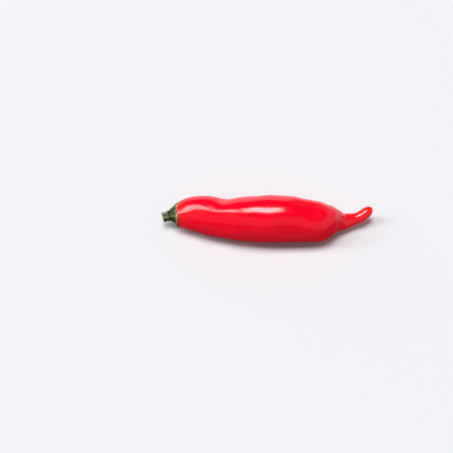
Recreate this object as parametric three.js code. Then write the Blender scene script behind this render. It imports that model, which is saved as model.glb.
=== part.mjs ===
import * as THREE from "three";

// A fresh red chilli pepper lying on its side, in millimetres and +Z up.
// The cut stalk is towards -X and the pointed tip towards +X.
// Each piece is first turned about a straight axis, given its ribs, lobes and hollows, and
// then bent along one centre line. "Along" is the distance on that line from the stalk's cut
// end. An angle round the line starts at the far side, +Y, and passes over the top, +Z.

// Overall form
const overallLength = 100; // straight length in X, from the cut stalk to the tip
const podRadius = 11.2; // where the pod is fattest
const bow = 6; // swing of the pod towards -Y
const tipCurl = 2.55; // swing of the horn-like tip back towards +Y
const hornRadius = 3; // the narrow tip beyond the shoulder

// Calyx, the green cap on the pod's neck
const calyxLength = 4;
const calyxRimRadius = 6.2;
const calyxWall = 0.6;
const calyxFloor = 1.3; // solid green between the stalk and the pod's neck
const toothDepth = 0.7; // how far the rim is notched back between its teeth
const toothCount = 5; // each tooth is the end of a rib that runs down the stalk and calyx
const ribAngle = 2.4; // radians, where one of the ribs stands

// Stalk
const stemLength = 3.2;
const stemRadius = 2.5;
const cutBevel = 0.2;

// Clearances between pieces
const neckClearance = 0.4; // pod to calyx, measured across the centre line
const flushLength = 0.8; // over which the pod widens past the rim until it is flush with it
const seamClearance = 0.3; // stalk to calyx

// Relief of the surface
const ribDepth = 0.2;
const fluteDepth = 0.15; // flutes that run out from the calyx on to the pod
const fluteReach = 9; // where they have died away
const lobeCount = 3; // long lobes, with the flat between two of them underneath
const lobeDepth = 0.25;
const lobeTwist = 0.4; // radians that the lobes turn through from end to end
const shoulderLean = 0.8; // the pod's end leans out over the horn on its upper far side
const shoulderLength = 4.5;
const leanAngle = 0.6; // radians

// Shallow hollows: share of the pod's length, angle in degrees, depth, half length, half width
const hollows = [
  { at: 0.22, angle: 62, depth: 0.35, halfLength: 6, halfWidth: 4.5 },
  { at: 0.37, angle: 190, depth: 0.4, halfLength: 6, halfWidth: 3.5 },
  { at: 0.55, angle: 165, depth: 0.35, halfLength: 5, halfWidth: 3.5 },
  { at: 0.64, angle: 110, depth: 0.45, halfLength: 6, halfWidth: 5 },
  { at: 0.3, angle: 320, depth: 0.3, halfLength: 8, halfWidth: 5 },
  { at: 0.58, angle: 10, depth: 0.3, halfLength: 8, halfWidth: 5 },
];

// Colours and roughness of the skins
const podSkin = { color: 0xe8081c, roughness: 0.22 };
const calyxSkin = { color: 0x5a7a30, roughness: 0.6 };
const stemSkin = { color: 0x76893f, roughness: 0.65 };

// Mesh fineness
const podSides = 36;
const stalkSides = 40;
const podRows = 72;
const neckRows = 8;
const calyxRows = 8;

// Places along the centre line
const calyxStart = stemLength + seamClearance;
const rimAlong = calyxStart + calyxLength;
const hollowStart = calyxStart + calyxFloor;
const neckStart = hollowStart + neckClearance;

// Centre line: share of the overall length, share of the bow, share of the pod's radius
const bodyPath = [
  [0.0, 0.32, 0.61],
  [0.037, 0.21, 0.685],
  [0.078, 0.14, 0.735],
  [0.18, 0.225, 0.8],
  [0.3, 0.717, 0.857],
  [0.44, 0.925, 0.978],
  [0.58, 0.925, 0.987],
  [0.71, 1.05, 0.875],
  [0.805, 0.717, 0.695],
  [0.873, 0.45, 0.518],
  [0.938, 0.2, 0.536],
];
const tipHeight = 0.75 * podRadius;
const pathPoints = bodyPath.map(
  ([x, y, z]) => new THREE.Vector3(x * overallLength, -y * bow, z * podRadius)
);
pathPoints.push(new THREE.Vector3(overallLength, tipCurl, tipHeight));
const path = new THREE.CatmullRomCurve3(pathPoints, false, "catmullrom");
const podLength = path.getLength() - rimAlong;

// Outline beyond the calyx's rim: share of the pod's length, share of the pod's radius
const bodyOutline = [
  [0.033, 0.64],
  [0.06, 0.705],
  [0.109, 0.785],
  [0.16, 0.83],
  [0.212, 0.83],
  [0.262, 0.86],
  [0.313, 0.928],
  [0.364, 0.96],
  [0.413, 0.988],
  [0.463, 1.0],
  [0.513, 0.99],
  [0.563, 0.97],
  [0.613, 0.912],
  [0.663, 0.87],
  [0.714, 0.815],
  [0.762, 0.655],
  [0.792, 0.48],
];
// The same beyond the shoulder, as a share of the horn's radius
const hornOutline = [
  [0.818, 1.3],
  [0.834, 1.08],
  [0.854, 1.0],
  [0.904, 0.94],
  [0.945, 0.86],
  [0.975, 0.76],
  [0.992, 0.46],
  [1.0, 0.0],
];
const hornStart = rimAlong + hornOutline[0][0] * podLength;

// Widening of the calyx from the stalk to the rim: share of its length, share of the widening
const flare = new THREE.SplineCurve([
  new THREE.Vector2(0.0, 0.0),
  new THREE.Vector2(0.25, 0.22),
  new THREE.Vector2(0.5, 0.5),
  new THREE.Vector2(0.75, 0.82),
  new THREE.Vector2(1.0, 1.0),
]);

function calyxRadius(along) {
  const share = THREE.MathUtils.clamp((along - calyxStart) / calyxLength, 0, 1);
  return stemRadius + (calyxRimRadius - stemRadius) * flare.getPoint(share).y;
}

// Turns a profile of (radius, along) points into a solid, lets reshape change each point, and
// bends the result on to the centre line
function bentLathe(profile, sides, reshape) {
  const geometry = new THREE.LatheGeometry(profile, sides);
  const position = geometry.attributes.position;
  const vertical = new THREE.Vector3(0, 0, 1);
  const far = new THREE.Vector3();
  const up = new THREE.Vector3();
  for (let index = 0; index < position.count; index += 1) {
    const row = index % profile.length;
    const side = (index - row) / profile.length;
    const angle = (2 * Math.PI * (side + 0.5)) / sides;
    const point = { along: profile[row].y, radius: profile[row].x, angle, row };
    if (point.radius > 0) reshape(point);
    const share = THREE.MathUtils.clamp(point.along / path.getLength(), 0, 1);
    const forward = path.getTangentAt(share);
    far.crossVectors(vertical, forward).normalize();
    up.crossVectors(forward, far);
    const place = path.getPointAt(share);
    place.addScaledVector(far, point.radius * Math.cos(angle));
    place.addScaledVector(up, point.radius * Math.sin(angle));
    position.setXYZ(index, place.x, place.y, place.z);
  }
  geometry.computeVertexNormals();
  return geometry;
}

function podProfile() {
  const neck = [new THREE.Vector2(0, neckStart)];
  for (let row = 0; row < neckRows; row += 1) {
    const along = THREE.MathUtils.lerp(neckStart, rimAlong, row / neckRows);
    neck.push(new THREE.Vector2(calyxRadius(along) - calyxWall - neckClearance, along));
  }
  const neckRadius = calyxRimRadius - calyxWall - neckClearance;
  const outline = new THREE.SplineCurve([
    new THREE.Vector2(neckRadius, rimAlong),
    new THREE.Vector2(calyxRimRadius - neckClearance, rimAlong + flushLength),
    ...bodyOutline.map(([x, r]) => new THREE.Vector2(r * podRadius, rimAlong + x * podLength)),
    ...hornOutline.map(([x, r]) => new THREE.Vector2(r * hornRadius, rimAlong + x * podLength)),
  ]);
  return [...neck, ...outline.getPoints(podRows)];
}

// Lobes fade in past the calyx and out before the horn, flutes fade out on the way
function reshapePod(point) {
  const { along, angle } = point;
  const beyond = Math.max(along - rimAlong, 0);
  const onBody = THREE.MathUtils.smoothstep(beyond, 0, fluteReach);
  const beforeHorn = 1 - THREE.MathUtils.smoothstep(along, hornStart - fluteReach, hornStart);
  const twist = lobeTwist * (beyond / podLength - 0.5);
  const lobes = Math.cos(lobeCount * (angle - Math.PI / 2 - twist));
  const clearOfRim = THREE.MathUtils.smoothstep(beyond, 0, toothDepth);
  const flutes = Math.cos(toothCount * (angle - ribAngle)) * clearOfRim * (1 - onBody);
  point.radius += lobeDepth * lobes * onBody * beforeHorn + fluteDepth * flutes;
  const fromShoulder = (along - hornStart) / shoulderLength;
  point.along += shoulderLean * Math.cos(angle - leanAngle) * Math.exp(-(fromShoulder ** 2));
  for (const hollow of hollows) {
    const centre = THREE.MathUtils.degToRad(hollow.angle);
    const across = 2 * podRadius * Math.sin((angle - centre) / 2);
    const lengthwise = beyond - hollow.at * podLength;
    const away = (across / hollow.halfWidth) ** 2 + (lengthwise / hollow.halfLength) ** 2;
    point.radius -= hollow.depth * Math.exp(-away);
  }
}

// Closed cup: the flared outside, the flat rim, and the hollow that the pod's neck fills
function calyxProfile() {
  const outside = [new THREE.Vector2(0, calyxStart)];
  const hollow = [new THREE.Vector2(0, hollowStart)];
  for (let row = 0; row <= calyxRows; row += 1) {
    const outer = THREE.MathUtils.lerp(calyxStart, rimAlong, row / calyxRows);
    const inner = THREE.MathUtils.lerp(hollowStart, rimAlong, row / calyxRows);
    outside.push(new THREE.Vector2(calyxRadius(outer), outer));
    hollow.push(new THREE.Vector2(calyxRadius(inner) - calyxWall, inner));
  }
  return [...outside, ...hollow.reverse()];
}

// How far a rib stands out at an angle round the stalk: the ribs run on into the rim's teeth
function rib(angle) {
  return ribDepth * Math.cos(toothCount * (angle - ribAngle));
}

// Notches slide the wall back along its own cone, and the ribs die away towards the rim
function reshapeCalyx(point) {
  const { along, angle, row } = point;
  const towardsRim = THREE.MathUtils.smoothstep(along, hollowStart, rimAlong);
  const notch = 0.5 - 0.5 * Math.cos(toothCount * (angle - ribAngle));
  point.along -= toothDepth * notch * towardsRim;
  point.radius += calyxRadius(point.along) - calyxRadius(along);
  if (row <= calyxRows + 1) point.radius += rib(angle) * (1 - towardsRim);
}

function stemProfile() {
  return [
    new THREE.Vector2(0, 0),
    new THREE.Vector2(stemRadius - cutBevel, 0),
    new THREE.Vector2(stemRadius, cutBevel),
    new THREE.Vector2(stemRadius, stemLength / 2),
    new THREE.Vector2(stemRadius, stemLength),
    new THREE.Vector2(0, stemLength),
  ];
}

function reshapeStem(point) {
  point.radius += rib(point.angle);
}

function piece(name, geometry, skin) {
  const material = new THREE.MeshStandardMaterial({ ...skin, metalness: 0 });
  const mesh = new THREE.Mesh(geometry, material);
  mesh.name = name;
  return mesh;
}

const chilli = new THREE.Group();
chilli.add(piece("pod", bentLathe(podProfile(), podSides, reshapePod), podSkin));
chilli.add(piece("calyx", bentLathe(calyxProfile(), stalkSides, reshapeCalyx), calyxSkin));
chilli.add(piece("stem", bentLathe(stemProfile(), stalkSides, reshapeStem), stemSkin));

// The origin is under the middle of the chilli, on the surface that it lies on
const box = new THREE.Box3().setFromObject(chilli);
const middle = box.getCenter(new THREE.Vector3());
chilli.position.set(-middle.x, -middle.y, -box.min.z);

export default chilli;
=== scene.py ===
import math
import bpy
import numpy as np
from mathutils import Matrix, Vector


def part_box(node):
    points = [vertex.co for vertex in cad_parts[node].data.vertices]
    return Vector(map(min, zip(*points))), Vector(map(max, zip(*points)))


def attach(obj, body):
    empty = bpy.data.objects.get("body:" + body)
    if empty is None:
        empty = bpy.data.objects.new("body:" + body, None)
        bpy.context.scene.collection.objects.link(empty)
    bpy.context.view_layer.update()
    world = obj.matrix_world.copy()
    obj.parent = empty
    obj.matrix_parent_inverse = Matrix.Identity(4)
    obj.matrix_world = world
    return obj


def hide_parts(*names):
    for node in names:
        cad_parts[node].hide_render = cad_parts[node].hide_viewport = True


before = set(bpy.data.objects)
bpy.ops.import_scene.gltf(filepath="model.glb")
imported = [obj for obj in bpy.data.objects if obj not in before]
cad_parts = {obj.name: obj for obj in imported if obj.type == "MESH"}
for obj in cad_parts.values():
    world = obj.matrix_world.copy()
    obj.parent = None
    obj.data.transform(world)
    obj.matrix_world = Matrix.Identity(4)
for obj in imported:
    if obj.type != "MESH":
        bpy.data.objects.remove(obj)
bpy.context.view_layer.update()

mm = 0.001


# the camera comes first, so that everything can be judged against it
cameraValues = {
    "elevation": 55.0,      # degrees above the surface
    "distance": 557.0,      # millimetres to the point it looks at
    "lookAt": (-19.7, 2.05),  # millimetres on the surface, left of and behind the chilli's middle
    "lens": 91.95,
    "sensor": 36.0,
    "clip": (0.01, 20.0),   # metres
}


def makeCamera(values):
    data = bpy.data.cameras.new("studio_camera")
    data.lens = values["lens"]
    data.sensor_width = values["sensor"]
    data.clip_start, data.clip_end = values["clip"]
    camera = bpy.data.objects.new("studio_camera", data)
    bpy.context.scene.collection.objects.link(camera)
    up = math.radians(values["elevation"])
    back = Vector((0.0, -math.cos(up), math.sin(up)))
    x, y = values["lookAt"]
    camera.location = Vector((x, y, 0.0)) * mm + back * values["distance"] * mm
    camera.rotation_euler = back.to_track_quat("Z", "Y").to_euler()
    bpy.context.scene.camera = camera


makeCamera(cameraValues)
bpy.context.scene.view_settings.view_transform = "Standard"
print("camera ready")


# sizes that every piece shares, millimetres
overall = {
    "length": 100.0,     # straight length in X, cut stalk to tip
    "podRadius": 11.2,
    "bow": 6.0,          # swing towards -Y
    "tipCurl": 2.55,     # swing of the tip back towards +Y
    "tipHeight": 0.75,   # share of the pod's radius
    "rimSlant": 0.45,    # how far the calyx's rim stands forward on one side and back on the other
    "slantAngle": 0.6,   # radians, the forward side
    "slantAlong": 7.8,   # where the lean is greatest
    "slantReach": 3.0,   # how far it reaches to either side
    "lineSteps": 6001,   # points worked out along the centre line
}

# share of the length, share of the bow, share of the pod's radius
pathStations = np.array([
    [0.0, 0.32, 0.61], [0.037, 0.21, 0.685], [0.078, 0.14, 0.735], [0.18, 0.225, 0.8],
    [0.3, 0.717, 0.857], [0.44, 0.925, 0.978], [0.58, 0.925, 0.987], [0.71, 1.05, 0.875],
    [0.805, 0.717, 0.695], [0.873, 0.45, 0.518], [0.938, 0.2, 0.536],
])


def smooth(value, low, high):
    # 0 below low, 1 above high, an S-curve 3t^2 - 2t^3 between
    t = np.clip((value - low) / (high - low), 0.0, 1.0)
    return t * t * (3.0 - 2.0 * t)


def splineThrough(points, t, openEnds):
    # uniform Catmull-Rom: the slope at a point is half the step between its two neighbours.
    # open ends carry on straight past the last point, others repeat it
    first = 2 * points[0] - points[1] if openEnds else points[0]
    last = 2 * points[-1] - points[-2] if openEnds else points[-1]
    padded = np.vstack([first, points, last])
    cell = np.clip(np.floor(t).astype(int), 0, len(points) - 2)
    w = (t - cell)[:, None]
    p0, p1, p2, p3 = (padded[cell + k] for k in range(4))
    startSlope, endSlope = (p2 - p0) / 2, (p3 - p1) / 2
    return ((2 * p1 - 2 * p2 + startSlope + endSlope) * w**3
            + (3 * p2 - 3 * p1 - 2 * startSlope - endSlope) * w**2 + startSlope * w + p1)


def centreLine(values, stations):
    # the points of the line, their distance along it and their forward directions
    scale = np.array([values["length"], -values["bow"], values["podRadius"]])
    tip = [values["length"], values["tipCurl"], values["tipHeight"] * values["podRadius"]]
    points = np.vstack([stations * scale, tip])
    line = splineThrough(points, np.linspace(0, len(points) - 1, values["lineSteps"]), True)
    steps = np.linalg.norm(np.diff(line, axis=0), axis=1)
    along = np.concatenate([[0.0], np.cumsum(steps)])
    forward = np.gradient(line, along, axis=0)
    forward /= np.linalg.norm(forward, axis=1)[:, None]
    return {"line": line, "along": along, "forward": forward, "length": along[-1]}


path = centreLine(overall, pathStations)


def bend(along, radius, angle):
    # carries a straight solid of revolution on to the centre line: from the line's point at
    # "along", radius millimetres out in the direction angle, which starts at the far side, +Y,
    # and passes over the top, +Z
    def at(values):
        flat = along.ravel()
        columns = [np.interp(flat, path["along"], values[:, k]) for k in range(3)]
        return np.stack(columns, axis=-1).reshape(*along.shape, 3)
    forward = at(path["forward"])
    far = np.cross([0.0, 0.0, 1.0], forward)
    far /= np.linalg.norm(far, axis=-1)[..., None]
    up = np.cross(forward, far)
    out = far * np.cos(angle)[..., None] + up * np.sin(angle)[..., None]
    return at(path["line"]) + out * radius[..., None]


def slant(along, angle):
    # rings near the calyx's rim lean: each point moves along the line by a cosine of its angle,
    # fading with distance from the rim as a bell curve
    near = np.exp(-((along - overall["slantAlong"]) / overall["slantReach"]) ** 2)
    return overall["rimSlant"] * near * np.cos(angle - overall["slantAngle"])


def meshFromGrid(name, grid, startPole, endPole):
    # rows of points run round the piece and close on themselves, and a fan of triangles closes
    # each end on its pole. The UV map is (share of the rows, share of the turn)
    rows, columns, _ = grid.shape
    points = np.vstack([startPole[None], grid.reshape(-1, 3), endPole[None]]) * mm
    index = 1 + np.arange(rows * columns).reshape(rows, columns)
    beside = np.roll(index, -1, axis=1)
    quads = np.stack([index[:-1], beside[:-1], beside[1:], index[1:]], axis=-1).reshape(-1, 4)
    lastPole = np.full(columns, len(points) - 1)
    firstPole = np.zeros(columns, int)
    fans = np.vstack([np.stack([firstPole, beside[0], index[0]], axis=-1),
                      np.stack([lastPole, index[-1], beside[-1]], axis=-1)])
    mesh = bpy.data.meshes.new(name)
    mesh.from_pydata(points.tolist(), [], quads.tolist() + fans.tolist())
    u = (np.arange(rows) + 1.0) / (rows + 1.0)
    low, high = np.meshgrid(u[:-1], np.arange(columns) / columns, indexing="ij")
    right = high + 1.0 / columns
    upper = np.broadcast_to(u[1:, None], low.shape)
    quadUv = np.stack([np.stack([low, high], -1), np.stack([low, right], -1),
                       np.stack([upper, right], -1), np.stack([upper, high], -1)], axis=2)
    turn = np.arange(columns) / columns
    middle = turn + 0.5 / columns
    first, last = np.full(columns, u[0]), np.full(columns, u[-1])
    startUv = np.stack([np.stack([np.zeros(columns), middle], -1),
                        np.stack([first, turn + 1.0 / columns], -1),
                        np.stack([first, turn], -1)], axis=1)
    endUv = np.stack([np.stack([np.ones(columns), middle], -1), np.stack([last, turn], -1),
                      np.stack([last, turn + 1.0 / columns], -1)], axis=1)
    uv = np.concatenate([quadUv.reshape(-1), startUv.reshape(-1), endUv.reshape(-1)])
    layer = mesh.uv_layers.new(name="OFBake")
    layer.data.foreach_set("uv", uv.astype(np.float32))
    mesh.polygons.foreach_set("use_smooth", np.ones(len(mesh.polygons), bool))
    mesh.update()
    piece = bpy.data.objects.new(name, mesh)
    bpy.context.scene.collection.objects.link(piece)
    return piece


def paintMask(piece, name, values):
    # one number a point, in grid order with a value for each pole, for the piece's material
    layer = piece.data.attributes.new(name=name, type="FLOAT", domain="POINT")
    layer.data.foreach_set("value", np.asarray(values, np.float32).ravel())


def withPoles(values):
    # a grid of numbers as one list, its first and last rows' means standing for the poles
    return np.concatenate([[values[0].mean()], values.ravel(), [values[-1].mean()]])


# sizes of the pieces, in millimetres and radians unless a comment says otherwise
pod = {
    "rimAlong": 7.5,         # from the cut stalk to the calyx's rim
    "neckAlong": 5.3,        # the neck's end, hidden in the calyx
    "neckEndRadius": 2.7,
    "neckRadius": 5.72,
    "flushRadius": 6.08,     # level with the calyx's rim
    "flushLength": 0.6,
    "hornRadius": 3.0,
    "fluteDepth": 0.15,      # the ribs of the calyx carried on into the skin
    "fluteStart": 0.7,
    "fluteReach": 9.0,
    "lobes": 3,              # the body is very slightly three-sided
    "lobeDepth": 0.25,
    "lobeTwist": 0.4,
    "shoulderLean": 0.8,     # the body reaches further along one side of the horn
    "shoulderLength": 4.5,
    "leanAngle": 0.6,
    "waveDepth": 0.05,       # broad swells
    "waves": (14, 9.0, 24.0),         # how many, the shortest and the longest
    "rippleDepth": 0.01,     # fine wrinkles across the skin
    "rippleLength": 0.95,
    "rippleDrift": (3.0, -4.0),       # how far the swells below push each train of ripples
    "secondRipple": (0.7, 1.43),      # its share of the first one's height, its frequency
    "driftWaves": (8, 5.0, 18.0),
    "patchWaves": (9, 8.0, 30.0),     # where there are ripples
    "patchEdge": (-0.2, 1.3),
    "rippleStart": (0.5, 3.0),
    "rippleFade": 3.0,       # thinner than this the ripples get shallower
    "creaseDepth": 0.14,     # where the body ends and the horn comes out
    "creaseAfter": 1.6,      # beyond the horn's start
    "creaseWidth": 0.9,
    "creaseLean": 0.4,
    "outlineSteps": 4001,
    "rows": 680,
    "columns": 138,
    "seed": 11,
}

# share of the pod's length beyond the rim, share of the pod's radius
bodyOutline = np.array([
    [0.033, 0.64], [0.06, 0.705], [0.109, 0.785], [0.16, 0.83], [0.212, 0.83],
    [0.262, 0.86], [0.313, 0.928], [0.364, 0.96], [0.413, 0.988], [0.463, 1.0],
    [0.513, 0.99], [0.563, 0.97], [0.613, 0.912], [0.663, 0.87], [0.714, 0.815],
    [0.762, 0.655], [0.792, 0.48],
])
# the same beyond the shoulder, as a share of the horn's radius
hornOutline = np.array([
    [0.818, 1.3], [0.834, 1.08], [0.854, 1.0], [0.904, 0.92], [0.945, 0.9],
    [0.975, 0.78], [0.992, 0.46], [1.0, 0.0],
])
# share of the pod's length, angle in degrees, depth, half length, half width
hollows = np.array([
    [0.22, 62, 0.35, 6, 4.5], [0.37, 190, 0.4, 6, 3.5], [0.55, 165, 0.35, 5, 3.5],
    [0.64, 110, 0.45, 6, 5], [0.3, 320, 0.3, 8, 5], [0.58, 10, 0.3, 8, 5],
    [0.075, 108, 0.5, 5, 4.5],
])
# the same for low swellings
swellings = np.array([
    [0.27, 107, 0.5, 7, 6], [0.66, 42, 0.4, 12, 4], [0.835, 205, 1.7, 3.8, 9],
])
# the ribs of the stalk and calyx, each ending in a tooth of the rim
ribs = {
    "count": 5,
    "angle": 2.4,       # radians, where one rib stands
    "crest": 0.006,     # larger is blunter
    "sharpness": 0.35,
    "middle": 0.35,     # the rib height that leaves the outline where it is
}


def podOutline(values):
    # the neck inside the calyx, then the spline through the stations, as (along, radius)
    length = path["length"] - values["rimAlong"]
    rim = values["rimAlong"]
    neck = np.array([[values["neckAlong"], 0.0], [values["neckAlong"], values["neckEndRadius"]],
                     [rim, values["neckRadius"]],
                     [rim + values["flushLength"], values["flushRadius"]]])
    body = np.stack([rim + bodyOutline[:, 0] * length,
                     bodyOutline[:, 1] * overall["podRadius"]], -1)
    horn = np.stack([rim + hornOutline[:, 0] * length,
                     hornOutline[:, 1] * values["hornRadius"]], -1)
    stations = np.vstack([neck[2:], body, horn])
    places = np.linspace(0, len(stations) - 1, values["outlineSteps"])
    return np.vstack([neck[:2], splineThrough(stations, places, False)])


def evenRows(outline, rows):
    # points at equal steps of distance along the outline, its two ends left out for the poles
    steps = np.linalg.norm(np.diff(outline, axis=0), axis=1)
    travelled = np.concatenate([[0.0], np.cumsum(steps)])
    wanted = np.linspace(0.0, travelled[-1], rows + 2)[1:-1]
    return (np.interp(wanted, travelled, outline[:, 0]),
            np.interp(wanted, travelled, outline[:, 1]))


def swells(along, angle, seed, count, shortest, longest, mostTurns=4):
    # a sum of sine waves in random directions over the unrolled skin, each with a whole number
    # of turns round it, divided so that their spread stays the same for any count
    random = np.random.default_rng(seed)
    total = np.zeros(np.broadcast(along, angle).shape)
    for _ in range(count):
        turns = random.integers(-mostTurns, mostTurns + 1)
        length = random.uniform(shortest, longest)
        start = random.uniform(0, 2 * math.pi)
        total = total + np.sin(2 * math.pi * along / length + turns * angle + start)
    return total / math.sqrt(count / 2)


def buildPod(values):
    # radius = outline + lobes + flutes - hollows + swells + ripples, where the ripples are
    # short waves along the pod in drifting patches
    outlineAlong, outlineRadius = evenRows(podOutline(values), values["rows"])
    along = np.repeat(outlineAlong[:, None], values["columns"], axis=1)
    angle = 2 * math.pi * np.arange(values["columns"])[None, :] / values["columns"]
    angle = np.broadcast_to(angle, along.shape)
    length = path["length"] - values["rimAlong"]
    hornStart = values["rimAlong"] + hornOutline[0, 0] * length
    beyond = np.maximum(along - values["rimAlong"], 0.0)
    onBody = smooth(beyond, 0.0, values["fluteReach"])
    beforeHorn = 1.0 - smooth(along, hornStart - values["fluteReach"], hornStart)
    twist = values["lobeTwist"] * (beyond / length - 0.5)
    lobes = np.cos(values["lobes"] * (angle - math.pi / 2 - twist))
    nearRim = smooth(beyond, 0.0, values["fluteStart"]) * (1 - onBody)
    flutes = np.cos(ribs["count"] * (angle - ribs["angle"])) * nearRim
    radius = outlineRadius[:, None] + values["lobeDepth"] * lobes * onBody * beforeHorn
    radius = radius + values["fluteDepth"] * flutes
    for dents, direction in ((hollows, -1), (swellings, 1)):
        for share, degrees, depth, halfLength, halfWidth in dents:
            across = 2 * overall["podRadius"] * np.sin((angle - math.radians(degrees)) / 2)
            lengthwise = beyond - share * length
            away = (across / halfWidth) ** 2 + (lengthwise / halfLength) ** 2
            radius = radius + direction * depth * np.exp(-away)
    swell = swells(along, angle, values["seed"], *values["waves"])
    radius = radius + values["waveDepth"] * swell * onBody * beforeHorn
    drift = swells(along, angle, values["seed"] + 1, *values["driftWaves"])
    patches = smooth(swells(along, angle, values["seed"] + 2, *values["patchWaves"]),
                     *values["patchEdge"])
    firstDrift, secondDrift = values["rippleDrift"]
    secondHeight, secondPace = values["secondRipple"]
    phase = 2 * math.pi * along / values["rippleLength"] + firstDrift * drift
    shape = np.sin(phase) + secondHeight * np.sin(secondPace * phase + secondDrift * drift)
    skin = smooth(beyond, *values["rippleStart"])
    skin = skin * np.clip(outlineRadius[:, None] / values["rippleFade"], 0.0, 1.0)
    radius = radius + values["rippleDepth"] * shape * patches * skin
    fromCrease = (along - hornStart - values["creaseAfter"]) / values["creaseWidth"]
    crease = values["creaseDepth"] * np.exp(-fromCrease**2)
    oneSided = 1 - values["creaseLean"] + values["creaseLean"] * np.cos(angle - values["leanAngle"])
    radius = radius - crease * oneSided
    fromShoulder = (along - hornStart) / values["shoulderLength"]
    lean = values["shoulderLean"] * np.cos(angle - values["leanAngle"])
    placed = along + lean * np.exp(-fromShoulder**2) + slant(along, angle)
    startPole = path["line"][np.searchsorted(path["along"], values["neckAlong"]) - 1]
    return bend(placed, radius, angle), startPole, path["line"][-1], beyond / length


podGrid, podStart, podEnd, podShare = buildPod(pod)
# the centre line starts at the cut stalk; the shift sets it in the frame, with the pod's middle
# over the CAD pod's and its underside as high
low, high = (np.array(corner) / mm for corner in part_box("pod"))
gridLow, gridHigh = podGrid.min(axis=(0, 1)), podGrid.max(axis=(0, 1))
shift = (low + high) / 2 - (gridLow + gridHigh) / 2
shift[2] = low[2] - gridLow[2]
podPiece = meshFromGrid("pod_skin", podGrid + shift, podStart + shift, podEnd + shift)
paintMask(podPiece, "share", withPoles(podShare))
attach(podPiece, "root")
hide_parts("pod")
print("pod built, shift", shift)


calyx = {
    "start": 3.4,          # from the cut stalk
    "rimAlong": 8.1,
    "collarRadius": 2.5,
    "rimRadius": 6.5,
    "wall": 0.6,
    "rimWall": 0.3,
    "floor": 4.8,          # solid from the start to here
    "flareSteps": 401,
    "ridgeHeight": 0.5,
    "ridgeFade": 0.55,     # share of the ribs' height lost on the way to the rim
    "toothDepth": 0.85,
    "toothSharpness": 1.4,
    "toothFrom": 0.35,     # share of the length where the notches start to pull the wall back
    "veinDepth": 0.045,
    "veinFade": 0.5,       # share of the veins' depth lost on the ribs
    "veinTurns": (14, 60),      # waves round the calyx, coarsest and finest
    "wrinkleDepth": 0.06,
    "wrinkles": (10, 0.6, 1.4),            # how many, the shortest and the longest
    "rings": ((0.0, 0.28), (0.4, 0.14)),   # share of the length, depth of each groove round it
    "ringWidth": 0.09,
    "rimWobble": 0.15,     # unevenness of the rim's edge
    "wobbleTurns": (3, 40),
    "dryFrom": 0.6,        # share of the length where the rim starts to dry out
    "columns": 300,
    "outerRows": 90,
    "lipRows": 12,
    "innerRows": 24,
    "seed": 5,
}

# share of the calyx's length, share of its widening from the collar to the rim
flareStations = np.array([[0.0, 0.0], [0.25, 0.22], [0.5, 0.5], [0.75, 0.82], [1.0, 1.0]])
flarePlaces = np.linspace(0, len(flareStations) - 1, calyx["flareSteps"])
flareCurve = splineThrough(flareStations, flarePlaces, False)


def ridges(angle):
    # nearly 1 on each rib and 0 midway between two, with a narrow crest and broad flat flanks:
    # one less a power of the squared sine of half the way from rib to rib
    crest = ribs["crest"]
    swing = np.sin(ribs["count"] * (angle - ribs["angle"]) / 2)
    return np.maximum(1.0 - ((swing**2 + crest) / (1.0 + crest)) ** ribs["sharpness"], 0.0)


def calyxRadius(values, along):
    # the collar's radius widening to the rim's along the flare's curve
    share = np.clip((along - values["start"]) / (values["rimAlong"] - values["start"]), 0, 1)
    widening = np.interp(share, flareCurve[:, 0], flareCurve[:, 1])
    return values["collarRadius"] + (values["rimRadius"] - values["collarRadius"]) * widening


def wobble(angle, seed, lowest, highest):
    # a closed uneven line round the piece: sines of whole turns, weaker as they get finer
    random = np.random.default_rng(seed)
    total = np.zeros(np.shape(angle))
    for turns in range(lowest, highest):
        total = total + np.sin(turns * angle + random.uniform(0, 2 * math.pi)) / turns**0.5
    return total / math.sqrt(sum(0.5 / turns for turns in range(lowest, highest)))


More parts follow.
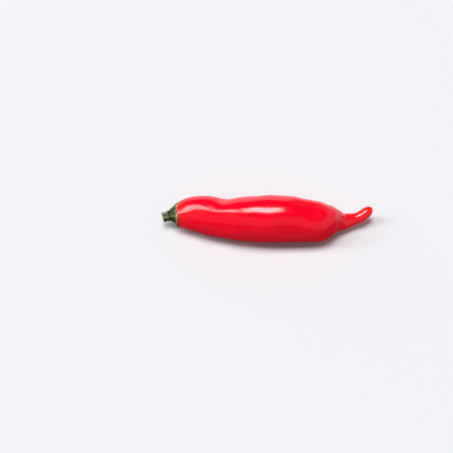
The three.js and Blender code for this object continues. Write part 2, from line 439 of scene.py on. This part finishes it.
def buildCalyx(values):
    # a cup: the flared outside, a round lip, and the inside back to its floor. The ribs and
    # wrinkles are only on the outside, and the notches slide the wall back along its cone
    rim, start, floor = values["rimAlong"], values["start"], values["floor"]
    outer = np.linspace(start, rim, values["outerRows"])
    inner = np.linspace(rim, floor, values["innerRows"])
    turn = np.linspace(0, math.pi, values["lipRows"] + 2)[1:-1]
    along = np.concatenate([outer, rim + 0.5 * values["rimWall"] * np.sin(turn), inner])
    thinning = np.interp(inner, [floor, rim], [values["wall"], values["rimWall"]])
    lip = values["rimRadius"] - 0.5 * values["rimWall"] * (1 - np.cos(turn))
    radius = np.concatenate([calyxRadius(values, outer), lip,
                             calyxRadius(values, inner) - thinning])
    outside = np.concatenate([np.ones(len(outer)), 0.5 + 0.5 * np.cos(turn),
                              np.zeros(len(inner))])
    share = np.clip((along - start) / (rim - start), 0.0, 1.0)
    angle = 2 * math.pi * np.arange(values["columns"])[None, :] / values["columns"]
    along, radius, outside, share = (a[:, None] for a in (along, radius, outside, share))
    rib = ridges(angle)
    veins = wobble(angle, values["seed"], *values["veinTurns"])
    wrinkles = swells(along, angle, values["seed"] + 1, *values["wrinkles"])
    relief = values["ridgeHeight"] * (rib - ribs["middle"])
    relief = relief * (1 - values["ridgeFade"] * share)
    relief = relief + values["veinDepth"] * veins * (1 - values["veinFade"] * rib)
    relief = relief + values["wrinkleDepth"] * wrinkles
    for middle, depth in values["rings"]:
        relief = relief - depth * np.exp(-((share - middle) / values["ringWidth"]) ** 2)
    edge = values["rimWobble"] * wobble(angle, values["seed"] + 2, *values["wobbleTurns"])
    notch = values["toothDepth"] * (1 - rib ** values["toothSharpness"])
    back = (notch + edge) * smooth(share, values["toothFrom"], 1.0)
    placed = along - back
    radius = radius + calyxRadius(values, placed) - calyxRadius(values, along)
    radius = radius + relief * outside
    leaning = slant(placed, angle)
    placed = placed + leaning
    radius = radius - leaning    # the forward side hugs the pod and the other stands off it
    turned = np.broadcast_to(angle, radius.shape)
    grid = bend(np.broadcast_to(placed, radius.shape), radius, turned)
    poles = [path["line"][np.searchsorted(path["along"], at)] for at in (start, floor)]
    masks = {
        "rim": np.broadcast_to(smooth(share, values["dryFrom"], 1.0), radius.shape),
        "ridge": np.broadcast_to(rib, radius.shape),
        "share": np.broadcast_to(share, radius.shape),
    }
    return grid, poles[0], poles[1], masks


calyxGrid, calyxStart, calyxEnd, calyxMasks = buildCalyx(calyx)
calyxPiece = meshFromGrid("calyx_cap", calyxGrid + shift, calyxStart + shift, calyxEnd + shift)
for maskName, mask in calyxMasks.items():
    paintMask(calyxPiece, maskName, withPoles(mask))
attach(calyxPiece, "root")
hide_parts("calyx")
print("calyx built")


stem = {
    "length": 3.9,          # its end runs on a little into the calyx's collar
    "radius": 2.35,
    "jointRadius": 2.6,     # swollen where it joins the calyx
    "swelling": (0.35, 0.85),      # shares of the length where the swelling starts and is full
    "waistDepth": 0.16,
    "waistAt": 0.4,         # share of the length
    "waistLength": 0.8,
    "bevel": 0.22,          # round the cut
    "grooveAlong": 3.4,     # the groove where it joins the calyx
    "grooveDepth": 0.35,
    "grooveWidth": 0.22,
    "darkFrom": (-0.5, -0.1),      # before the groove, where its shade starts and is full
    "ridgeHeight": 0.3,
    "unevenness": 0.05,     # of the outline
    "unevenTurns": (2, 9),
    "pithDepth": 0.112,     # the dish in the cut face's middle
    "pithEdge": (0.5, 1.0),        # from the middle, where the dish starts to rise and ends
    "cutRoughness": 0.05,   # saw marks
    "cutTurns": 3,
    "cutWaves": (12, 1 / 6, 0.75),  # how many, the shortest and the longest share of the radius
    "cutSlant": 0.12,       # one side of the cut stands this far out
    "slantAngle": 1.0,
    "fibreDepth": 0.03,
    "fibreTwist": 0.03,     # radians a millimetre
    "fibreTurns": (18, 90),
    "columns": 260,
    "centreShare": 0.04,    # the innermost ring of the cut face
    "cutRows": 34,
    "bevelRows": 8,
    "sideRows": 60,
    "seed": 21,
}


def buildStem(values):
    # the cut face from its middle outwards, dished at the pith, then round the bevel and along
    # the ribbed side to the joint
    flat = values["radius"] - values["bevel"]
    face = np.linspace(values["centreShare"], 1.0, values["cutRows"]) * flat
    turn = np.linspace(0, math.pi / 2, values["bevelRows"])[1:]
    side = np.linspace(values["bevel"], values["length"], values["sideRows"])[1:]
    along = np.concatenate([np.zeros(len(face)), values["bevel"] * (1 - np.cos(turn)), side])
    edge = values["radius"] - values["bevel"] * (1 - np.sin(turn))
    sideShare = side / values["length"]
    swelling = (values["jointRadius"] - values["radius"]) * smooth(sideShare, *values["swelling"])
    fromWaist = (side - values["waistAt"] * values["length"]) / values["waistLength"]
    fromGroove = (side - values["grooveAlong"]) / values["grooveWidth"]
    flank = (values["radius"] + swelling - values["waistDepth"] * np.exp(-fromWaist**2)
             - values["grooveDepth"] * np.exp(-fromGroove**2))
    radius = np.concatenate([face, edge, flank])
    cut = np.concatenate([np.ones(len(face)), np.cos(turn) ** 2, np.zeros(len(side))])
    angle = 2 * math.pi * np.arange(values["columns"])[None, :] / values["columns"]
    along, radius, cut = (a[:, None] for a in (along, radius, cut))
    outward = radius / values["radius"]
    seed = values["seed"]
    outline = values["ridgeHeight"] * (ridges(angle) - ribs["middle"])
    outline = outline + values["unevenness"] * wobble(angle, seed, *values["unevenTurns"])
    twisted = angle + values["fibreTwist"] * along
    fibres = values["fibreDepth"] * wobble(twisted, seed + 1, *values["fibreTurns"])
    dish = values["pithDepth"] * (1 - smooth(radius, *values["pithEdge"]))
    saw = swells(outward, values["cutTurns"] * angle, seed + 2, *values["cutWaves"])
    leaning = values["cutSlant"] * outward * np.cos(angle - values["slantAngle"])
    placed = along + cut * (dish + values["cutRoughness"] * saw + leaning)
    radius = radius + (outline + fibres * (1 - cut)) * np.clip(outward, 0, 1)
    turned = np.broadcast_to(angle, radius.shape)
    grid = bend(np.broadcast_to(placed, radius.shape), radius, turned)
    masks = {
        "cut": np.broadcast_to(cut, radius.shape),
        "outward": np.broadcast_to(outward, radius.shape),
        "ridge": np.broadcast_to(ridges(angle), radius.shape),
        # painted shade mask: where the stalk darkens into the calyx's collar
        "jointShadeMask": np.broadcast_to(smooth(along - values["grooveAlong"], *values["darkFrom"]),
                                 radius.shape),
    }
    return grid, grid[0].mean(axis=0), grid[-1].mean(axis=0), masks


stemGrid, stemStart, stemEnd, stemMasks = buildStem(stem)
stemPiece = meshFromGrid("stalk", stemGrid + shift, stemStart + shift, stemEnd + shift)
for maskName, mask in stemMasks.items():
    paintMask(stemPiece, maskName, withPoles(mask))
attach(stemPiece, "root")
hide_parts("stem")
print("stalk built")


def node(tree, kind, settings=None, **inputs):
    # a node with its settings, and each named input given a value or linked to a socket
    made = tree.nodes.new(kind)
    for name, value in (settings or {}).items():
        setattr(made, name, value)
    for name, value in inputs.items():
        socket = made.inputs[name.replace("_", " ")]
        if isinstance(value, bpy.types.NodeSocket):
            tree.links.new(value, socket)
        else:
            socket.default_value = value
    return made


def maths(tree, operation, first, second=0.0):
    made = tree.nodes.new("ShaderNodeMath")
    made.operation = operation
    for socket, value in zip(made.inputs, (first, second)):
        if isinstance(value, bpy.types.NodeSocket):
            tree.links.new(value, socket)
        else:
            socket.default_value = value
    return made.outputs[0]


def spread(tree, value, low, high, toLow=0.0, toHigh=1.0):
    # maps low..high to toLow..toHigh and holds it there
    made = node(tree, "ShaderNodeMapRange", {"clamp": True}, Value=value)
    for name, number in (("From Min", low), ("From Max", high),
                         ("To Min", toLow), ("To Max", toHigh)):
        made.inputs[name].default_value = number
    return made.outputs["Result"]


def blendColours(tree, factor, first, second, mode="MIX"):
    made = node(tree, "ShaderNodeMix", {"data_type": "RGBA", "blend_type": mode})
    for index, value in ((0, factor), (6, first), (7, second)):
        socket = made.inputs[index]
        if isinstance(value, bpy.types.NodeSocket):
            tree.links.new(value, socket)
        else:
            socket.default_value = value if index == 0 else (*value, 1.0)
    return made.outputs[2]


def maskFrom(tree, name):
    return node(tree, "ShaderNodeAttribute", {"attribute_name": name}).outputs["Fac"]


def newGroup(name, numbers, outputs):
    group = bpy.data.node_groups.new(name, "ShaderNodeTree")
    group.interface.new_socket("Vector", in_out="INPUT", socket_type="NodeSocketVector")
    for label, value in numbers.items():
        socket = group.interface.new_socket(label, in_out="INPUT", socket_type="NodeSocketFloat")
        socket.default_value = value
    for label in outputs:
        group.interface.new_socket(label, in_out="OUTPUT", socket_type="NodeSocketFloat")
    return group, group.nodes.new("NodeGroupInput"), group.nodes.new("NodeGroupOutput")


def makeMottle():
    # cloudy patches: layered noise pushed towards 0 and 1 by the contrast
    group, given, result = newGroup("mottle", {"Scale": 100.0, "Contrast": 2.0}, ["Mask"])
    middle = 0.5
    noise = node(group, "ShaderNodeTexNoise", Vector=given.outputs["Vector"],
                 Scale=given.outputs["Scale"], Detail=5.0, Roughness=0.55)
    centred = maths(group, "SUBTRACT", noise.outputs["Fac"], middle)
    pushed = maths(group, "MULTIPLY", centred, given.outputs["Contrast"])
    made = node(group, "ShaderNodeClamp", Value=maths(group, "ADD", pushed, middle))
    group.links.new(made.outputs[0], result.inputs["Mask"])
    return group


def makeSpeckle():
    # scattered round spots: near a cell's middle, and only in the share of cells asked for. A
    # cell's second random number gives its spot's size, from the smallest share up
    smallest, edgeSharpness = 0.4, 2.0
    group, given, result = newGroup("speckle", {"Scale": 500.0, "Size": 0.25, "Share": 0.4},
                                    ["Mask"])
    cells = node(group, "ShaderNodeTexVoronoi", Vector=given.outputs["Vector"],
                 Scale=given.outputs["Scale"])
    chance = node(group, "ShaderNodeSeparateColor", Color=cells.outputs["Color"])
    chosen = maths(group, "LESS_THAN", chance.outputs[0], given.outputs["Share"])
    size = maths(group, "MULTIPLY", given.outputs["Size"],
                 maths(group, "ADD", smallest, chance.outputs[1]))
    near = maths(group, "SUBTRACT", 1.0, maths(group, "DIVIDE", cells.outputs["Distance"], size))
    spot = node(group, "ShaderNodeClamp", Value=maths(group, "MULTIPLY", near, edgeSharpness))
    made = maths(group, "MULTIPLY", spot.outputs[0], chosen)
    group.links.new(made, result.inputs["Mask"])
    return group


def makeFibre():
    # fine strands along X: noise stretched lengthwise, at two sizes
    finer, finerShare = 2.7, 0.5
    group, given, result = newGroup("fibre", {"Scale": 900.0, "Stretch": 6.0}, ["Height"])
    squeeze = node(group, "ShaderNodeCombineXYZ", Y=1.0, Z=1.0)
    group.links.new(maths(group, "DIVIDE", 1.0, given.outputs["Stretch"]), squeeze.inputs["X"])
    stretched = node(group, "ShaderNodeVectorMath", {"operation": "MULTIPLY"})
    group.links.new(given.outputs["Vector"], stretched.inputs[0])
    group.links.new(squeeze.outputs[0], stretched.inputs[1])
    coarse = node(group, "ShaderNodeTexNoise", Vector=stretched.outputs[0],
                  Scale=given.outputs["Scale"], Detail=3.0)
    fine = node(group, "ShaderNodeTexNoise", Vector=stretched.outputs[0],
                Scale=maths(group, "MULTIPLY", given.outputs["Scale"], finer), Detail=2.0)
    weaker = maths(group, "MULTIPLY", fine.outputs["Fac"], finerShare)
    made = maths(group, "ADD", coarse.outputs["Fac"], weaker)
    group.links.new(made, result.inputs["Height"])
    return group


mottle, speckle, fibre = makeMottle(), makeSpeckle(), makeFibre()


def useGroup(tree, group, vector, **numbers):
    made = node(tree, "ShaderNodeGroup", {"node_tree": group}, Vector=vector, **numbers)
    return made.outputs[0]


def newMaterial(name):
    material = bpy.data.materials.new(name)
    material.use_nodes = True
    tree = material.node_tree
    return material, tree, tree.nodes["Principled BSDF"]


def objectPlace(tree, scale=(1.0, 1.0, 1.0)):
    coordinates = tree.nodes.new("ShaderNodeTexCoord")
    return node(tree, "ShaderNodeMapping", Vector=coordinates.outputs["Object"],
                Scale=scale).outputs["Vector"]


def bump(tree, height, distance, coarser=None):
    made = node(tree, "ShaderNodeBump", Height=height, Distance=distance)
    if coarser is not None:
        tree.links.new(coarser, made.inputs["Normal"])
    return made.outputs["Normal"]


podFinish = {
    "bright": (0.86, 0.0, 0.019),
    "deep": (0.66, 0.0, 0.011),
    "orange": (0.86, 0.01, 0.01),
    "scar": (0.16, 0.09, 0.03),
    # how strongly each pattern shows
    "deepPatches": 0.45,
    "deepStreaks": 0.14,
    "orangeDots": 0.12,
    # shares of the pod's length, then how far the orange shows at each
    "stalkEnd": (0.0, 0.09, 0.75, 0.0),
    "tipEnd": (0.8, 0.95, 0.0, 0.8),
    "scarEdge": (0.992, 0.999),
    "scarRoughness": 0.4,
    "roughness": (0.12, 0.22),
    "ior": 1.45,
    "coat": 0.2,
    "coatRoughness": 0.05,
    "subsurface": 0.12,
    "subsurfaceRadius": (1.0, 0.12, 0.06),
    "subsurfaceScale": 0.002,   # metres
    "streakStretch": (0.25, 1.0, 1.0),
    "rippleStretch": (1.0, 0.22, 0.22),
    "rippleHeight": 0.00003,    # metres
    "poreHeight": 0.000006,
}


def makePodMaterial(values):
    # scarlet with slow patches of deeper red, orange towards both ends, wax that varies, and
    # fine ripples and pores
    material, tree, skin = newMaterial("chilli_skin")
    place = objectPlace(tree)
    lengthwise = objectPlace(tree, values["streakStretch"])
    crosswise = objectPlace(tree, values["rippleStretch"])
    share = maskFrom(tree, "share")
    clouds = useGroup(tree, mottle, place, Scale=70.0, Contrast=2.2)
    streaks = useGroup(tree, mottle, lengthwise, Scale=420.0, Contrast=2.5)
    patches = maths(tree, "MULTIPLY", clouds, values["deepPatches"])
    colour = blendColours(tree, patches, values["bright"], values["deep"])
    streaks = maths(tree, "MULTIPLY", streaks, values["deepStreaks"])
    colour = blendColours(tree, streaks, colour, values["deep"])
    nearStalk = spread(tree, share, *values["stalkEnd"])
    nearTip = spread(tree, share, *values["tipEnd"])
    ends = maths(tree, "MAXIMUM", nearStalk, nearTip)
    colour = blendColours(tree, ends, colour, values["orange"])
    dots = useGroup(tree, speckle, place, Scale=900.0, Size=0.22, Share=0.3)
    dots = maths(tree, "MULTIPLY", dots, values["orangeDots"])
    colour = blendColours(tree, dots, colour, values["orange"])
    scar = spread(tree, share, *values["scarEdge"])
    colour = blendColours(tree, scar, colour, values["scar"])
    tree.links.new(colour, skin.inputs["Base Color"])
    wax = useGroup(tree, mottle, place, Scale=240.0, Contrast=2.0)
    rough = spread(tree, wax, 0.0, 1.0, *values["roughness"])
    corky = maths(tree, "MULTIPLY", scar, values["scarRoughness"])
    rough = maths(tree, "ADD", rough, corky)
    tree.links.new(rough, skin.inputs["Roughness"])
    skin.inputs["IOR"].default_value = values["ior"]
    skin.inputs["Subsurface Weight"].default_value = values["subsurface"]
    skin.inputs["Subsurface Radius"].default_value = values["subsurfaceRadius"]
    skin.inputs["Subsurface Scale"].default_value = values["subsurfaceScale"]
    skin.inputs["Coat Weight"].default_value = values["coat"]
    skin.inputs["Coat Roughness"].default_value = values["coatRoughness"]
    ripples = node(tree, "ShaderNodeTexNoise", Vector=crosswise, Scale=1500.0, Detail=2.0)
    normal = bump(tree, ripples.outputs["Fac"], values["rippleHeight"])
    pores = node(tree, "ShaderNodeTexNoise", Vector=place, Scale=5200.0, Detail=2.0)
    normal = bump(tree, pores.outputs["Fac"], values["poreHeight"], normal)
    tree.links.new(normal, skin.inputs["Normal"])
    return material


calyxFinish = {
    "green": (0.04, 0.092, 0.016),
    "light": (0.19, 0.29, 0.1),
    "brown": (0.06, 0.04, 0.01),
    # painted shade: the dark green of the shade in the valleys, the joint and the ring groove
    "grooveShade": (0.012, 0.022, 0.002),
    # painted shade: the olive-brown of the shaded underside
    "shadeOlive": (0.08, 0.06, 0.01),
    "rim": (0.17, 0.12, 0.05),
    "rimPale": (0.66, 0.42, 0.28),
    "speck": (0.11, 0.02, 0.006),
    # how strongly each pattern shows
    "lightPatches": 0.7,
    "brownPatches": 0.55,
    # painted highlight: how pale the rib crests are made
    "ribHighlight": 0.5,
    "flecks": 0.85,
    # painted shade: metres above the floor, then how far the olive-brown of the shaded underside
    # shows at each
    "undersideShade": (0.0112, 0.0088, 0.0, 0.85),
    # painted shade: values of the ribs, or shares of the length, then how far the dark green shade
    # of the valleys, the joint and the ring groove shows at each
    "valleyShade": (0.12, 0.5, 0.7, 0.0),
    # painted highlight: values of the ribs where the paler crests start and are full
    "crestHighlight": (0.55, 0.85),
    "jointShade": (0.02, 0.13, 0.9, 0.0),
    "ringAt": 0.4,
    "ringShade": (0.02, 0.1, 0.75, 0.0),
    "raggedness": 0.4,        # how unevenly the dry edge starts
    "dryEdge": (0.65, 1.1),
    "speckShare": (0.2, 0.9, 0.2, 0.95),
    "roughness": (0.38, 0.6),
    "specular": 0.3,
    "subsurface": 0.08,
    "subsurfaceScale": 0.001,
    "grainHeight": 0.00005,   # metres
    "pitHeight": 0.00002,
}


def undersideShade(tree, place, limits):
    # painted shade: how far the olive-brown standing in for the underside's shade shows between two
    # heights: (upper, lower, 0, most)
    height = node(tree, "ShaderNodeSeparateXYZ", Vector=place).outputs["Z"]
    return spread(tree, height, *limits)


def makeCalyxMaterial(values):
    # mid green with brown patches, painted shade darker in the grooves along and round it and olive
    # below, painted highlight paler on the ribs, drying along the rim to tan with pale flecks and
    # dark specks
    material, tree, skin = newMaterial("calyx_green_skin")
    place = objectPlace(tree)
    rim, ridge, share = (maskFrom(tree, name) for name in ("rim", "ridge", "share"))
    patches = useGroup(tree, mottle, place, Scale=800.0, Contrast=4.5)
    ageing = useGroup(tree, mottle, place, Scale=330.0, Contrast=4.0)
    grain = useGroup(tree, fibre, place, Scale=1500.0, Stretch=4.0)
    pale = maths(tree, "MULTIPLY", patches, values["lightPatches"])
    colour = blendColours(tree, pale, values["green"], values["light"])
    aged = maths(tree, "MULTIPLY", ageing, values["brownPatches"])
    colour = blendColours(tree, aged, colour, values["brown"])
    # painted shade: the underside turns olive-brown towards the floor
    colour = blendColours(tree, undersideShade(tree, place, values["undersideShade"]), colour, values["shadeOlive"])
    # painted shade: darker in the valleys between the ribs, at the joint with the stalk and in the
    # ring groove
    valleyShade = spread(tree, ridge, *values["valleyShade"])
    colour = blendColours(tree, valleyShade, colour, values["grooveShade"])
    jointShadeMask = spread(tree, share, *values["jointShade"])
    fromRing = maths(tree, "ABSOLUTE", maths(tree, "SUBTRACT", share, values["ringAt"]))
    ring = spread(tree, fromRing, *values["ringShade"])
    colour = blendColours(tree, maths(tree, "MAXIMUM", jointShadeMask, ring), colour, values["grooveShade"])
    # painted highlight: the rib crests made paler, as if catching the light
    crestHighlight = spread(tree, ridge, *values["crestHighlight"], 0.0, values["ribHighlight"])
    colour = blendColours(tree, crestHighlight, colour, values["light"])
    uneven = maths(tree, "ADD", rim, maths(tree, "MULTIPLY", patches, values["raggedness"]))
    drying = spread(tree, uneven, *values["dryEdge"])
    flecks = useGroup(tree, mottle, place, Scale=1300.0, Contrast=7.0)
    flecks = maths(tree, "MULTIPLY", flecks, values["flecks"])
    tan = blendColours(tree, flecks, values["rim"], values["rimPale"])
    colour = blendColours(tree, drying, colour, tan)
    specks = useGroup(tree, speckle, place, Scale=1100.0, Size=0.42, Share=0.42)
    dark = maths(tree, "MULTIPLY", specks, spread(tree, rim, *values["speckShare"]))
    colour = blendColours(tree, dark, colour, values["speck"])
    tree.links.new(colour, skin.inputs["Base Color"])
    rough = spread(tree, patches, 0.0, 1.0, *values["roughness"])
    tree.links.new(rough, skin.inputs["Roughness"])
    skin.inputs["Specular IOR Level"].default_value = values["specular"]
    skin.inputs["Subsurface Weight"].default_value = values["subsurface"]
    skin.inputs["Subsurface Scale"].default_value = values["subsurfaceScale"]
    normal = bump(tree, grain, values["grainHeight"])
    pits = node(tree, "ShaderNodeTexNoise", Vector=place, Scale=4200.0, Detail=3.0)
    normal = bump(tree, pits.outputs["Fac"], values["pitHeight"], normal)
    tree.links.new(normal, skin.inputs["Normal"])
    return material


stemFinish = {
    "green": (0.085, 0.15, 0.045),
    "light": (0.27, 0.31, 0.12),
    # painted shade: the dark of the shade in the valleys and under the calyx's collar
    "grooveShade": (0.025, 0.03, 0.008),
    # painted shade: the olive-brown of the shaded underside
    "shadeOlive": (0.1, 0.075, 0.02),
    "cutRing": (0.42, 0.36, 0.18),
    "cutPith": (0.72, 0.66, 0.44),
    "cutDark": (0.12, 0.06, 0.025),
    # painted shade: metres above the floor, then how far the olive-brown of the shaded underside
    # shows at each
    "undersideShade": (0.0088, 0.0074, 0.0, 0.85),
    # painted shade: values of the ribs, then how far the dark of the valleys shows at each
    "valleyShade": (0.1, 0.45, 0.7, 0.0),
    # shares of the radius, from the pith out to the bark
    "woodEdge": (0.52, 0.66),
    "barkEdge": (0.86, 0.97),
    "cutEdge": (0.35, 0.7),
    "crumbs": 0.5,            # how strongly each pattern shows
    "specks": 0.5,
    "roughness": (0.45, 0.65),
    "specular": 0.3,
    "grainHeight": 0.00008,   # metres
    "pitHeight": 0.00004,
}


def makeStemMaterial(values):
    # grey-green ribs with paler patches; painted shade olive-brown below and dark in the valleys and
    # into the calyx;
    # the cut face is a tan ring of wood round pale pith
    material, tree, skin = newMaterial("stalk_skin")
    place = objectPlace(tree)
    cut, outward, ridge, jointShadeMask = (maskFrom(tree, name)
                                  for name in ("cut", "outward", "ridge", "jointShadeMask"))
    patches = useGroup(tree, mottle, place, Scale=800.0, Contrast=4.2)
    grain = useGroup(tree, fibre, place, Scale=1700.0, Stretch=7.0)
    colour = blendColours(tree, patches, values["green"], values["light"])
    # painted shade: the underside turns olive-brown towards the floor
    colour = blendColours(tree, undersideShade(tree, place, values["undersideShade"]), colour, values["shadeOlive"])
    # painted shade: darker in the valleys between the ribs and where the stalk runs into the calyx
    valleyShade = spread(tree, ridge, *values["valleyShade"])
    colour = blendColours(tree, valleyShade, colour, values["grooveShade"])
    colour = blendColours(tree, jointShadeMask, colour, values["grooveShade"])
    crumbs = useGroup(tree, mottle, place, Scale=1900.0, Contrast=3.0)
    faint = maths(tree, "MULTIPLY", crumbs, values["crumbs"])
    pith = blendColours(tree, faint, values["cutPith"], values["cutRing"])
    ring = blendColours(tree, crumbs, values["cutRing"], values["cutDark"])
    wood = spread(tree, outward, *values["woodEdge"])
    face = blendColours(tree, wood, pith, ring)
    bark = spread(tree, outward, *values["barkEdge"])
    face = blendColours(tree, bark, face, values["green"])
    colour = blendColours(tree, spread(tree, cut, *values["cutEdge"]), colour, face)
    specks = useGroup(tree, speckle, place, Scale=1500.0, Size=0.3, Share=0.25)
    specks = maths(tree, "MULTIPLY", specks, values["specks"])
    colour = blendColours(tree, specks, colour, values["cutDark"])
    tree.links.new(colour, skin.inputs["Base Color"])
    rough = spread(tree, patches, 0.0, 1.0, *values["roughness"])
    tree.links.new(rough, skin.inputs["Roughness"])
    skin.inputs["Specular IOR Level"].default_value = values["specular"]
    normal = bump(tree, grain, values["grainHeight"])
    pits = node(tree, "ShaderNodeTexNoise", Vector=place, Scale=3800.0, Detail=3.0)
    normal = bump(tree, pits.outputs["Fac"], values["pitHeight"], normal)
    tree.links.new(normal, skin.inputs["Normal"])
    return material


podPiece.data.materials.append(makePodMaterial(podFinish))
calyxPiece.data.materials.append(makeCalyxMaterial(calyxFinish))
stemPiece.data.materials.append(makeStemMaterial(stemFinish))
print("materials built")


studio = {
    "floorSize": 5.0,
    "floorColour": (0.66, 0.66, 0.685),
    "floorShade": (0.985, 1.0),    # its faint clouding, darkest and lightest
    "floorRoughness": 0.7,
    "mirrorEdge": (0.012, -0.006),   # metres in Y, where the skin stops mirroring the floor
    "overhead": {"size": (3.8, 4.1), "height": 9.0, "x": -0.74, "y": 0.0, "radiance": 14.0},
    "left": {"size": (2.3, 8.2), "distance": 9.0, "tilt": 46.0, "radiance": 8.5},
    "around": 0.03,       # brightness of the surroundings
    # brighter parts of the surroundings: how bright, then along each axis the two numbers that a
    # direction passes from being outside the part to being inside it
    "zones": {
        "back": (1.1, (("Z", -0.06, 0.0), ("Z", 0.45, 0.39), ("Y", 0.1, 0.4), ("X", 0.3, 0.1))),
        "front": (0.32, (("Z", 0.17, 0.23), ("Z", 0.79, 0.73), ("Y", -0.1, -0.3))),
        "right": (0.55, (("Z", -0.13, -0.07), ("Z", 0.68, 0.62), ("X", 0.3, 0.6))),
    },
    "backdrop": (0.905, 0.905, 0.94),   # what the camera sees beyond the floor
}


def makeFloor(values):
    # a pale sheet. The glossy skin mirrors it behind the chilli but not in front, where its
    # mirror image would hide the red
    half = values["floorSize"] / 2
    mesh = bpy.data.meshes.new("floor")
    mesh.from_pydata([(-half, -half, 0), (half, -half, 0), (half, half, 0), (-half, half, 0)],
                     [], [(0, 1, 2, 3)])
    floor = bpy.data.objects.new("floor", mesh)
    bpy.context.scene.collection.objects.link(floor)
    material, tree, surface = newMaterial("pale_floor")
    grain = useGroup(tree, mottle, objectPlace(tree), Scale=900.0, Contrast=1.5)
    shade = spread(tree, grain, 0.0, 1.0, *values["floorShade"])
    tone = node(tree, "ShaderNodeCombineColor", Red=shade, Green=shade, Blue=shade)
    colour = blendColours(tree, 1.0, values["floorColour"], tone.outputs[0], "MULTIPLY")
    tree.links.new(colour, surface.inputs["Base Color"])
    surface.inputs["Roughness"].default_value = values["floorRoughness"]
    surface.inputs["Specular IOR Level"].default_value = 0.0
    place = tree.nodes.new("ShaderNodeTexCoord").outputs["Object"]
    depth = node(tree, "ShaderNodeSeparateXYZ", Vector=place).outputs["Y"]
    inFront = spread(tree, depth, *values["mirrorEdge"])
    mirrored = tree.nodes.new("ShaderNodeLightPath").outputs["Is Glossy Ray"]
    clear = tree.nodes.new("ShaderNodeBsdfTransparent")
    mixed = tree.nodes.new("ShaderNodeMixShader")
    tree.links.new(maths(tree, "MULTIPLY", inFront, mirrored), mixed.inputs["Fac"])
    tree.links.new(surface.outputs[0], mixed.inputs[1])
    tree.links.new(clear.outputs[0], mixed.inputs[2])
    tree.links.new(mixed.outputs[0], tree.nodes["Material Output"].inputs["Surface"])
    mesh.materials.append(material)


def addSoftbox(name, size, place, target, radiance):
    # an area light whose power gives the radiance asked for: power = radiance * pi * area
    data = bpy.data.lights.new(name, "AREA")
    data.shape = "RECTANGLE"
    data.size, data.size_y = size
    data.energy = radiance * math.pi * size[0] * size[1]
    light = bpy.data.objects.new(name, data)
    bpy.context.scene.collection.objects.link(light)
    light.location = place
    light.rotation_euler = (Vector(place) - Vector(target)).to_track_quat("Z", "Y").to_euler()


def makeWorld(values):
    # a dim studio with brighter zones, and a plain pale backdrop for the camera itself
    world = bpy.data.worlds.new("studio")
    bpy.context.scene.world = world
    world.use_nodes = True
    tree = world.node_tree
    tree.nodes.clear()
    direction = tree.nodes.new("ShaderNodeTexCoord").outputs["Generated"]
    towards = node(tree, "ShaderNodeSeparateXYZ", Vector=direction)
    colour = (values["around"],) * 3
    for brightness, limits in values["zones"].values():
        amount = 1.0
        for axis, outside, inside in limits:
            reached = spread(tree, towards.outputs[axis], outside, inside)
            amount = maths(tree, "MULTIPLY", amount, reached)
        colour = blendColours(tree, amount, colour, (brightness,) * 3)
    lighting = node(tree, "ShaderNodeBackground", Color=colour)
    behind = node(tree, "ShaderNodeBackground", Color=(*values["backdrop"], 1.0))
    seen = tree.nodes.new("ShaderNodeLightPath").outputs["Is Camera Ray"]
    mixed = tree.nodes.new("ShaderNodeMixShader")
    tree.links.new(seen, mixed.inputs["Fac"])
    tree.links.new(lighting.outputs[0], mixed.inputs[1])
    tree.links.new(behind.outputs[0], mixed.inputs[2])
    result = tree.nodes.new("ShaderNodeOutputWorld")
    tree.links.new(mixed.outputs[0], result.inputs["Surface"])


makeFloor(studio)
makeWorld(studio)
overhead = studio["overhead"]
addSoftbox("overhead_softbox", overhead["size"],
           (overhead["x"], overhead["y"], overhead["height"]),
           (overhead["x"], overhead["y"], 0.0), overhead["radiance"])
left = studio["left"]
leftTilt = math.radians(left["tilt"])
addSoftbox("left_softbox", left["size"],
           (-left["distance"] * math.sin(leftTilt), 0.0, left["distance"] * math.cos(leftTilt)),
           (0.0, 0.0, 0.0), left["radiance"])
print("studio lit")
